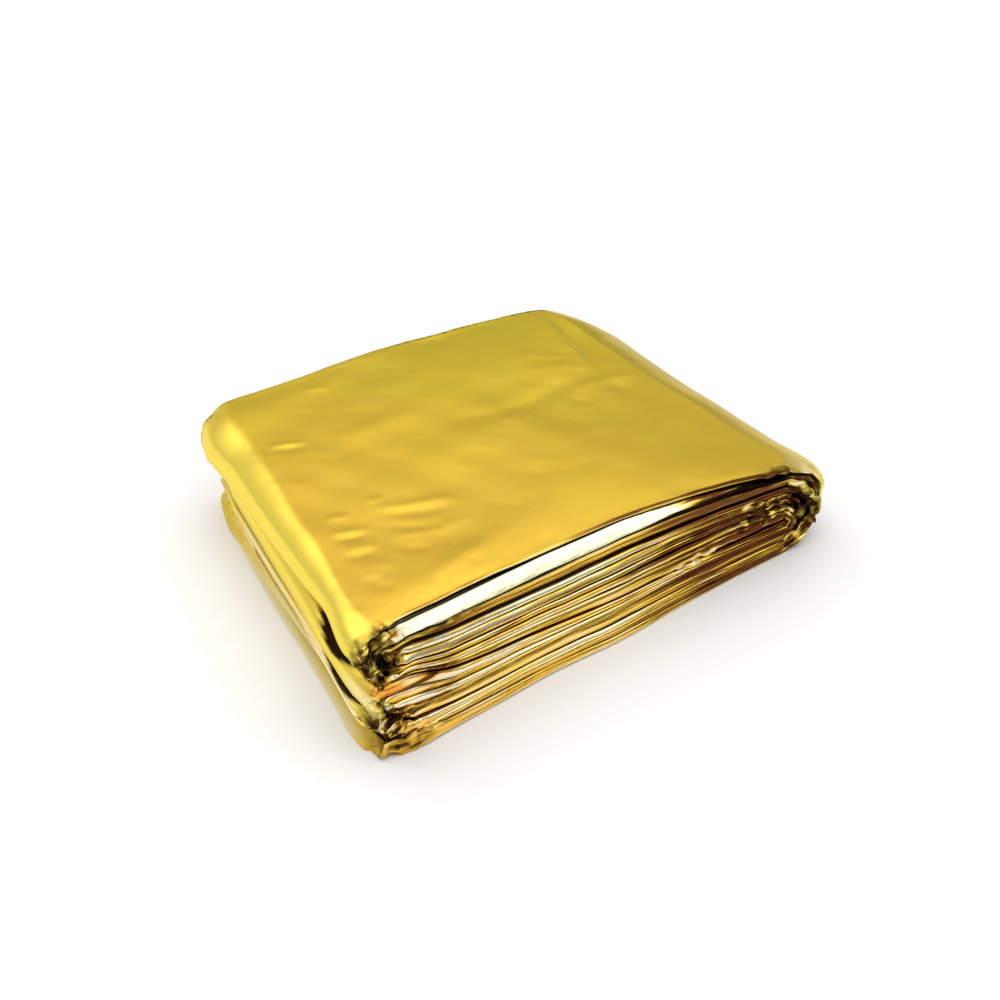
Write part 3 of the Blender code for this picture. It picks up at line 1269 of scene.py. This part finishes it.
TOP_CREASES = (
    # points from one end to the other, height, width, kind
    Crease(((52.0, 50.0), (50.0, 39.6), (47.5, 25.9), (45.5, 16.8), (43.5, 14.1)), -1.5, 7.0, Fold.STEP),
    Crease(((44.9, 20.7), (40.1, 24.7), (32.3, 29.5), (22.4, 26.9)), 0.35, 1.6),
    Crease(((44.2, 15.0), (39.1, 18.6), (31.6, 21.8)), 0.35, 1.4),
    Crease(((-8.0, 11.5), (5.5, 7.6), (16.4, 7.5), (29.4, 11.3), (43.0, 11.2)), -0.8, 2.2),
    Crease(((32.0, 8.4), (46.8, 7.8), (58.0, 7.0)), 0.6, 1.6),
    Crease(((42.1, 1.8), (47.7, 3.1)), -0.35, 1.4),
    Crease(((27.7, 3.4), (32.5, 0.7)), -0.3, 1.3),
    Crease(((-26.0, 0.5), (-0.7, -1.4), (16.0, 2.5)), 0.4, 4.5),
    Crease(((-8.0, -19.0), (6.0, -26.3), (14.9, -25.7), (25.0, -13.0)), -0.3, 2.5),
    Crease(((-31.0, 50.2), (-22.0, 46.4)), 0.3, 1.0),
    Crease(((-53.0, 29.7), (-42.8, 25.2)), 0.45, 0.9),
    Crease(((-52.0, 27.5), (-43.0, 23.0)), -0.35, 1.2),
    Crease(((-57.0, -8.4), (-50.7, -10.9)), 0.35, 0.9),
    Crease(((-46.3, -10.9), (-36.8, -15.3), (-25.0, -18.9)), 0.45, 1.3),
    Crease(((-45.0, -14.5), (-36.0, -19.0), (-26.0, -22.5)), -0.4, 1.5),
    Crease(((-47.6, -23.9), (-35.3, -28.3), (-26.3, -27.7)), 0.4, 1.3),
    Crease(((-59.8, -15.1), (-49.1, -18.2)), 0.4, 1.0),
    Crease(((-60.0, -17.6), (-51.8, -19.8)), -0.45, 1.0),
    Crease(((-61.0, -25.9), (-52.6, -27.0)), -0.4, 1.1),
    Crease(((-60.5, -22.9), (-51.0, -24.5)), 0.35, 1.2),
    Crease(((-62.5, -36.7), (-53.9, -36.6)), -0.4, 1.2),
    Crease(((-61.5, -31.5), (-52.5, -32.5)), 0.3, 1.4),
    Crease(((-56.7, -45.6), (-42.3, -41.6), (-31.2, -39.6), (-20.6, -36.6)), 0.35, 1.8),
    Crease(((-42.0, -33.0), (-33.0, -35.0), (-26.0, -33.0)), -0.35, 3.0),
    Crease(((-40.4, 21.2), (-23.6, 21.9), (-7.2, 21.0)), 0.25, 2.2),
    Crease(((-44.0, 12.0), (-28.0, 14.5), (-12.0, 14.0)), -0.25, 2.5),
    Crease(((-38.0, 34.0), (-24.0, 31.5), (-8.0, 32.0)), -0.2, 3.0),
    Crease(((-44.8, -7.9), (-40.0, -9.1)), 0.3, 0.9),
    Crease(((-47.1, -18.3), (-38.4, -26.5), (-33.0, -28.2)), -0.35, 1.4),
    Crease(((-48.8, -30.6), (-40.8, -33.2)), -0.3, 1.2),
    Crease(((-63.0, -38.7), (-56.9, -42.0)), -0.3, 1.2),
    Crease(((-62.6, -34.4), (-54.7, -37.6)), 0.35, 1.3),
    Crease(((-29.8, -38.9), (-42.9, -43.4), (-55.5, -48.5)), 0.3, 1.5),
    Crease(((12.1, 24.4), (31.6, 22.8), (42.9, 19.0)), 0.3, 2.5),
    Crease(((-20.0, 40.0), (-4.0, 36.0), (10.0, 38.0)), 0.25, 3.0),
    Crease(((-52.0, 14.0), (-46.0, 2.0), (-44.0, -4.0)), -0.2, 3.0),
    Crease(((-12.0, 26.0), (-20.0, 10.0), (-18.0, -8.0)), -0.2, 4.0),
    Crease(((8.0, -8.0), (24.0, -14.0), (44.0, -12.0)), 0.2, 4.0),
    Crease(((52.0, -6.0), (44.0, -22.0), (28.0, -34.0)), -0.2, 5.0),
)


@dataclass(frozen=True)
class NoseLine:
    """A crease along the big left nose, at an angle in degrees from below.

    start and end are the depths between which it runs, fading in and out over
    fade, and drift turns it a little from front to back.
    """

    angle: float
    height: float
    width: float
    start: float
    end: float
    drift: float = 5.0
    fade: float = 0.15

    def lift(self, angle: np.ndarray, depth: np.ndarray) -> np.ndarray:
        """How far it lifts the film at each angle and depth."""
        line = self.angle + self.drift * (depth - 0.5)
        along = ease((depth - self.start) / self.fade) * ease((self.end - depth) / self.fade)
        return self.height * along * np.exp(-(((angle - line) / self.width) ** 2))


NOSE_LINES = (
    # angle, height, width, start, end
    NoseLine(104.0, -0.16, 7.0, 0.25, 1.10),
    NoseLine(124.0, 0.12, 7.0, 0.20, 1.00),
    NoseLine(86.0, 0.10, 7.0, 0.10, 0.80),
)


@dataclass
class OuterPly(FoldedStrip):
    """The last stretch of the strip: the top face, the big turn and the underside.

    sharpness and breadth scale the height and width of its creases, swell is the
    height of its slow waves, and hem is the share near each edge that stays plain.
    """

    sharpness: float = 0.55
    breadth: float = 1.5
    swell: float = 0.36
    hem: float = 0.025

    def shaped(self, places: np.ndarray) -> np.ndarray:
        """Crease the outer leaf of the top run and the big turn.

        Args:
            places: Points of the plain strip.

        Returns:
            The points with the creases.
        """
        x, y = places[..., 0], places[..., 1]
        lift = self.swells(x, y)
        for crease in TOP_CREASES:
            lift += crease.lift(x, y, self.breadth) * self.sharpness
        normal = np.cross(np.gradient(places, axis=1), np.gradient(places, axis=0))
        normal /= np.linalg.norm(normal, axis=-1, keepdims=True) + 1e-9
        lift *= np.clip(normal[..., 2], 0.0, 1.0) ** 2
        first = len(self.path[0].places)
        angles = np.degrees(self.path[1].column())
        for line in NOSE_LINES:
            lift[first : first + len(angles)] += line.lift(angles, self.section.depth)
        from_edge = 0.5 - np.abs(self.section.depth - 0.5)
        inside = self.section.on_leaf_a * ease(from_edge / self.hem)
        return places + normal * (lift * inside)[..., None]

    def swells(self, x: np.ndarray, y: np.ndarray) -> np.ndarray:
        """Slow waves of the film, in three directions.

        Args:
            x: Places along the pack.
            y: Places across it.

        Returns:
            Their height at each place.
        """
        slanted = wander(x + 0.4 * y, Seed.SWELL, 75.0) * np.cos(y / 22.0)
        backward = wander(y - 0.3 * x, Seed.SWELL + 1, 90.0)
        small = wander(x + y, Seed.SWELL + 2, 34.0) * wander(y - 0.6 * x, Seed.SWELL + 3, 41.0)
        return self.swell * (slanted + backward + 0.3 * small)


class Nodes:
    """A node tree, with short ways to add and join its nodes."""

    def __init__(self, tree: bpy.types.NodeTree) -> None:
        """Keep the tree."""
        self.tree = tree

    def add(self, kind: str, **values: float | Triple | Colour | Socket) -> bpy.types.Node:
        """Add a node and set or join its inputs.

        Args:
            kind: The node's type.
            values: Values or sockets for its inputs, spaces in names written as _.

        Returns:
            The node.
        """
        node = self.tree.nodes.new(kind)
        for name, value in values.items():
            self.set(node, name.replace("_", " "), value)
        return node

    def set(self, node: bpy.types.Node, name: str, value: float | Triple | Colour | Socket) -> None:
        """Set an input of a node, or join a socket to it."""
        self.fill(node.inputs[name], value)

    def fill(self, socket: Socket, value: float | Triple | Colour | Socket) -> None:
        """Give a socket a value, or join another socket to it."""
        if isinstance(value, Socket):
            self.tree.links.new(value, socket)
        else:
            socket.default_value = value

    def attribute(self, name: str) -> Socket:
        """Read one of the film's marks."""
        node = self.add("ShaderNodeAttribute")
        node.attribute_name = name
        return node.outputs["Fac"]

    def noise(self, place: Socket, scale: Triple, detail: float) -> Socket:
        """Noise with its own scale along each axis."""
        stretch = self.add("ShaderNodeMapping", Vector=place, Scale=scale)
        noise = self.add("ShaderNodeTexNoise", Vector=stretch.outputs["Vector"], Scale=1.0, Detail=detail)
        return noise.outputs["Fac"]

    def blend(self, share: Socket, a: Colour | Socket, b: Colour | Socket) -> Socket:
        """Blend two colours.

        Args:
            share: 0 for the first, 1 for the second.
            a: The first colour.
            b: The second.

        Returns:
            The blended colour.
        """
        node = self.tree.nodes.new("ShaderNodeMix")
        node.data_type = "RGBA"
        self.fill(node.inputs[0], share)
        for socket, value in zip([socket for socket in node.inputs if socket.type == "RGBA"], (a, b)):
            self.fill(socket, value)
        return next(socket for socket in node.outputs if socket.type == "RGBA")

    def ramp(
        self, value: Socket, low: float, high: float, to_low: float = 0.0, to_high: float = 1.0
    ) -> Socket:
        """Turn low to high into 0 to 1, or into two other values, clipped."""
        node = self.add("ShaderNodeMapRange", Value=value, From_Min=low, From_Max=high)
        self.set(node, "To Min", to_low)
        self.set(node, "To Max", to_high)
        return node.outputs["Result"]

    def math(self, operation: str, a: Socket, b: Socket) -> Socket:
        """Work out an operation on two values.

        Args:
            operation: Its name in the maths node.
            a: The first value.
            b: The second.

        Returns:
            The result.
        """
        node = self.tree.nodes.new("ShaderNodeMath")
        node.operation = operation
        for socket, value in zip(node.inputs, (a, b)):
            self.fill(socket, value)
        return node.outputs[0]


def new_material(name: str) -> tuple[bpy.types.Material, bpy.types.Node]:
    """Make a material.

    Args:
        name: Its name.

    Returns:
        The material and its shader.
    """
    material = bpy.data.materials.new(name)
    material.use_nodes = True
    return material, material.node_tree.nodes["Principled BSDF"]


@dataclass(frozen=True)
class GoldFilm:
    """The blanket's metallised film.

    Its clouds, streaks, patches, wrinkles and grain are noises, each given by its scale along the three
    axes. Heights are in mm. Its marks paint light and shade into the colour: pale and white for painted
    highlights, amber for a painted reflection, brown and near black for painted shade.
    """

    warm: Colour = (1.0, 0.61, 0.075, 1.0)
    cool: Colour = (0.84, 0.635, 0.052, 1.0)
    green: Colour = (0.93, 0.75, 0.11, 1.0)
    # pale is mostly a painted highlight, partly random tone
    pale: Colour = (0.95, 0.85, 0.62, 1.0)
    white_highlight: Colour = (0.95, 0.94, 0.57, 1.0)
    painted_amber_reflection: Colour = (0.92, 0.33, 0.035, 1.0)
    brown_shade_and_tone: Colour = (0.16, 0.048, 0.015, 1.0)
    painted_shade: Colour = (0.012, 0.005, 0.002, 1.0)
    edge: Colour = (0.94, 0.85, 0.60, 1.0)
    clouds: Triple = (22.0, 22.0, 22.0)
    streaks: Triple = (35.0, 420.0, 1400.0)
    patches: Triple = (30.0, 45.0, 45.0)
    wrinkles: Triple = (130.0, 300.0, 700.0)
    grain: Triple = (500.0, 900.0, 1500.0)
    smooth: float = 0.13
    rough: float = 0.26
    worn: float = 0.16
    swing: float = 0.5
    wrinkle_height: float = 0.22
    grain_height: float = 0.03

    def build(self, name: str) -> bpy.types.Material:
        """Make the material.

        Args:
            name: Its name.

        Returns:
            The material.
        """
        material, shader = new_material(name)
        nodes = Nodes(material.node_tree)
        place = nodes.add("ShaderNodeTexCoord").outputs["Object"]
        marks = {mark: nodes.attribute(mark) for mark in FILM_MARKS}
        nodes.set(shader, "Base Color", self.colour(nodes, place, marks))
        nodes.set(shader, "Metallic", 1.0)
        nodes.set(shader, "Specular Tint", self.edge)
        nodes.set(shader, "Roughness", self.roughness(nodes, place, marks["green"]))
        nodes.set(shader, "Normal", self.bumps(nodes, place, marks["crinkle"]))
        return material

    def colour(self, nodes: Nodes, place: Socket, marks: dict[str, Socket]) -> Socket:
        """Gold that drifts from warm to cool, tinted as the film is marked, with painted highlights, a
        painted amber reflection and painted shade.

        Args:
            nodes: The material's nodes.
            place: The place on the piece.
            marks: The film's marks by name.

        Returns:
            The colour.
        """
        split = nodes.add("ShaderNodeSeparateXYZ", Vector=place).outputs
        along, across = nodes.ramp(split["X"], -0.08, 0.08), nodes.ramp(split["Y"], -0.06, 0.06)
        slope = nodes.math("ADD", along, across)
        drift = nodes.math("ADD", nodes.noise(place, self.clouds, 4.0), slope)
        colour = nodes.blend(nodes.ramp(drift, 0.6, 2.2), self.warm, self.cool)
        streaks = nodes.ramp(nodes.noise(place, self.streaks, 3.0), 0.3, 0.7, -self.swing, self.swing)
        tone = nodes.math("ADD", marks["tone"], nodes.math("MULTIPLY", marks["crinkle"], streaks))
        # each over the ones before it, from where it starts to where it is full: greenish film, painted
        # amber reflection, pale and white painted highlights, brown and near black painted shade
        tints = (
            (marks["green"], 0.0, 1.0, self.green),
            (marks["green"], 0.0, -1.0, self.painted_amber_reflection),
            (tone, 0.0, -1.0, self.pale),
            (tone, -1.0, -1.6, self.white_highlight),
            (tone, 0.1, 0.9, self.brown_shade_and_tone),
            (marks["shade"], 0.0, 1.0, self.painted_shade),
        )
        for mark, start, full, tint in tints:
            colour = nodes.blend(nodes.ramp(mark, start, full), colour, tint)
        return colour

    def roughness(self, nodes: Nodes, place: Socket, green: Socket) -> Socket:
        """Smoother and rougher patches, and a worn look where the film is greenish.

        Args:
            nodes: The material's nodes.
            place: The place on the piece.
            green: How greenish the film is.

        Returns:
            The roughness.
        """
        patches = nodes.ramp(nodes.noise(place, self.patches, 2.0), 0.0, 1.0, self.smooth, self.rough)
        return nodes.math("ADD", patches, nodes.ramp(green, 0.0, 1.0, 0.0, self.worn))

    def bumps(self, nodes: Nodes, place: Socket, crinkle: Socket) -> Socket:
        """Fine wrinkles, stronger on the noses, and a finer grain over them.

        Args:
            nodes: The material's nodes.
            place: The place on the piece.
            crinkle: How crinkled the film is.

        Returns:
            The surface's normal.
        """
        strength = nodes.ramp(crinkle, 0.0, 1.0, 0.1, 0.5)
        wrinkles = nodes.noise(place, self.wrinkles, 4.0)
        low = nodes.add("ShaderNodeBump", Height=wrinkles, Strength=strength)
        nodes.set(low, "Distance", self.wrinkle_height * MM)
        grain = nodes.noise(place, self.grain, 2.0)
        high = nodes.add("ShaderNodeBump", Height=grain, Strength=0.2, Normal=low.outputs["Normal"])
        nodes.set(high, "Distance", self.grain_height * MM)
        return high.outputs["Normal"]


def direction(azimuth: float, elevation: float) -> Vector:
    """A direction from two angles in degrees, the first from +X toward +Y."""
    turn, rise = math.radians(azimuth), math.radians(elevation)
    return Vector((math.cos(turn) * math.cos(rise), math.sin(turn) * math.cos(rise), math.sin(rise)))


def placed(name: str, data: bpy.types.ID, place: Vector, way: Vector) -> bpy.types.Object:
    """Put a light or a camera in the scene.

    Args:
        name: Its name.
        data: The light or the camera.
        place: Where it stands, in metres.
        way: The direction from what it looks at.

    Returns:
        The new object.
    """
    thing = bpy.data.objects.new(name, data)
    thing.location = place
    thing.rotation_euler = way.to_track_quat("Z", "Y").to_euler()
    bpy.context.collection.objects.link(thing)
    return thing


@dataclass(frozen=True)
class Lamp:
    """A soft panel light that shines at the pack from one direction, in metres."""

    name: str
    azimuth: float
    elevation: float
    distance: float
    width: float
    height: float
    strength: float

    def build(self, target: Vector) -> bpy.types.Object:
        """Set up the light.

        Args:
            target: What it points at.

        Returns:
            The light.
        """
        data = bpy.data.lights.new(self.name, "AREA")
        data.shape = "RECTANGLE"
        data.size, data.size_y = self.width, self.height
        data.energy = self.strength * math.pi * self.width * self.height
        way = direction(self.azimuth, self.elevation)
        return placed(self.name, data, target + way * self.distance, way)


LAMPS = (
    # name, azimuth, elevation, distance, width, height, strength
    Lamp("front_panel", -50.6, 42.0, 1.2, 0.55, 0.45, 1.0),
    Lamp("back_left_panel", 130.0, 30.0, 1.4, 1.5, 1.2, 0.12),
    Lamp("left_strip", 112.0, 49.0, 0.59, 0.50, 0.28, 0.65),
)
Sky = tuple[tuple[float, float], ...]
# height up the sky and its brightness there
FRONT_SKY = ((0.03, 0.92), (0.06, 0.18), (0.22, 0.26), (0.42, 0.55), (0.62, 0.78), (1.0, 1.7))
BACK_SKY = ((0.03, 0.92), (0.06, 0.52), (0.22, 0.58), (0.45, 0.65), (0.68, 0.94), (1.0, 1.7))


@dataclass(frozen=True)
class Studio:
    """A pale floor, soft light all round and three panels.

    front is the direction in which the front sky lies, and the two skies blend
    between two heights along it.
    """

    floor_size: float = 20.0
    floor_colour: Colour = (0.97, 0.97, 0.97, 1.0)
    floor_roughness: float = 0.6
    front: Triple = (0.57, -0.82, 0.0)
    front_from_to: tuple[float, float] = (0.75, 0.25)
    brightness: float = 2.0
    target: Triple = (0.0, 0.0, 0.015)

    def build(self) -> None:
        """Set up the whole studio."""
        self.floor()
        self.surroundings()
        for lamp in LAMPS:
            lamp.build(Vector(self.target))

    def floor(self) -> None:
        """Lay the floor."""
        sheet = bmesh.new()
        bmesh.ops.create_grid(sheet, x_segments=2, y_segments=2, size=self.floor_size / 2)
        floor = linked("floor", sheet)
        material, shader = new_material("pale floor")
        shader.inputs["Base Color"].default_value = self.floor_colour
        shader.inputs["Roughness"].default_value = self.floor_roughness
        floor.data.materials.append(material)

    def surroundings(self) -> None:
        """Light the pack from all round, brighter from above."""
        world = bpy.data.worlds.new("studio")
        bpy.context.scene.world = world
        world.use_nodes = True
        nodes = Nodes(world.node_tree)
        way = nodes.add("ShaderNodeTexCoord").outputs["Generated"]
        height = nodes.add("ShaderNodeSeparateXYZ", Vector=way).outputs["Z"]
        toward = nodes.add("ShaderNodeVectorMath", Vector=way)
        toward.operation = "DOT_PRODUCT"
        toward.inputs[1].default_value = self.front
        low, high = self.front_from_to
        turn = nodes.add("ShaderNodeMapRange", Value=toward.outputs["Value"], From_Min=low, From_Max=high)
        turn.interpolation_type = "SMOOTHSTEP"
        skies = [self.sky(nodes, height, levels) for levels in (FRONT_SKY, BACK_SKY)]
        background = world.node_tree.nodes["Background"]
        nodes.set(background, "Color", nodes.blend(turn.outputs["Result"], *skies))
        nodes.set(background, "Strength", self.brightness)

    def sky(self, nodes: Nodes, height: Socket, levels: Sky) -> Socket:
        """A sky whose brightness changes with height.

        Args:
            nodes: The world's nodes.
            height: Height up the sky, from 0 to 1.
            levels: Its brightness at a few heights.

        Returns:
            Its colour.
        """
        ramp = nodes.add("ShaderNodeValToRGB", Fac=height)
        knots = ramp.color_ramp.elements
        while len(knots) < len(levels):
            knots.new(0.5)
        for knot, (place, level) in zip(knots, levels):
            knot.position = place
            knot.color = (*(level / self.brightness,) * 3, 1.0)
        return ramp.outputs["Color"]


@dataclass(frozen=True)
class PackCamera:
    """The camera, before the front left corner and above it, in metres and degrees."""

    azimuth: float = -125.0
    elevation: float = 35.0
    distance: float = 0.482
    aim: Triple = (0.0099, 0.0115, 0.0)
    lens: float = 61.2
    clip_start: float = 0.01

    def build(self) -> bpy.types.Object:
        """Set up the camera.

        Returns:
            The camera, which is the scene's.
        """
        data = bpy.data.cameras.new("camera")
        data.lens = self.lens
        data.clip_start = self.clip_start
        way = direction(self.azimuth, self.elevation)
        camera = placed("camera", data, Vector(self.aim) + way * self.distance, way)
        bpy.context.scene.camera = camera
        return camera


@dataclass(frozen=True)
class FoilBlanket:
    """The folded blanket: its packed layers and the ply that wraps them.

    Both are stretches of one strip. They are two pieces so that the outer one,
    which shows, can have a finer surface. The ply begins halfway along a run.
    strip_width and the two lengths are those of the flat pieces, in metres.
    """

    strip_width: float = 0.110
    inner_length: float = 1.87
    outer_length: float = 0.34
    inner_half_steps: int = 50
    outer_half_steps: int = 14
    outer_steps: tuple[int, ...] = (48, 175, 36, 80)

    def build(self) -> tuple[bpy.types.Object, bpy.types.Object]:
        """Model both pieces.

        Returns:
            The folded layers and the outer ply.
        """
        shape = PackShape()
        path = FoldPath().stretches()
        count = len(self.outer_steps)
        shared = path[-count - 1]
        inner = path[: -count - 1] + [resampled(shared, self.inner_half_steps, last=0.5)]
        outer = [resampled(shared, self.outer_half_steps, first=0.5)]
        outer += [resampled(part, steps) for part, steps in zip(path[-count:], self.outer_steps)]
        inner_section = Section(leaf_a=14, leaf_b=14, nose=20, back_nose=6, crowd=(0.65, 0.33))
        outer_section = Section(leaf_a=140, leaf_b=4, nose=20, back_nose=6)
        layers = FoldedStrip(shape, inner_section, inner).build("folded_layers")
        ply = OuterPly(shape, outer_section, outer).build("outer_ply")
        return layers, ply

    def dress(self, layers: bpy.types.Object, ply: bpy.types.Object, film: bpy.types.Material) -> None:
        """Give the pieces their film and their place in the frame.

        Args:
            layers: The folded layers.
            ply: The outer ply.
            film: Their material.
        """
        for piece in (layers, ply):
            piece.data.materials.append(film)
            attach(piece, "root")
            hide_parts("foil_blanket")
            LOG.info("%s: %d faces", piece.name, len(piece.data.polygons))


def main() -> None:
    """Build the pack, the studio and the camera."""
    logging.basicConfig(level=logging.INFO, format="%(name)s: %(message)s")
    PackCamera().build()
    Studio().build()
    LOG.info("studio and camera: ready")

    blanket = FoilBlanket()
    layers, ply = blanket.build()
    blanket.dress(layers, ply, GoldFilm().build("gold film"))

    bpy.context.scene.view_settings.view_transform = "Standard"


if __name__ == "__main__":
    main()
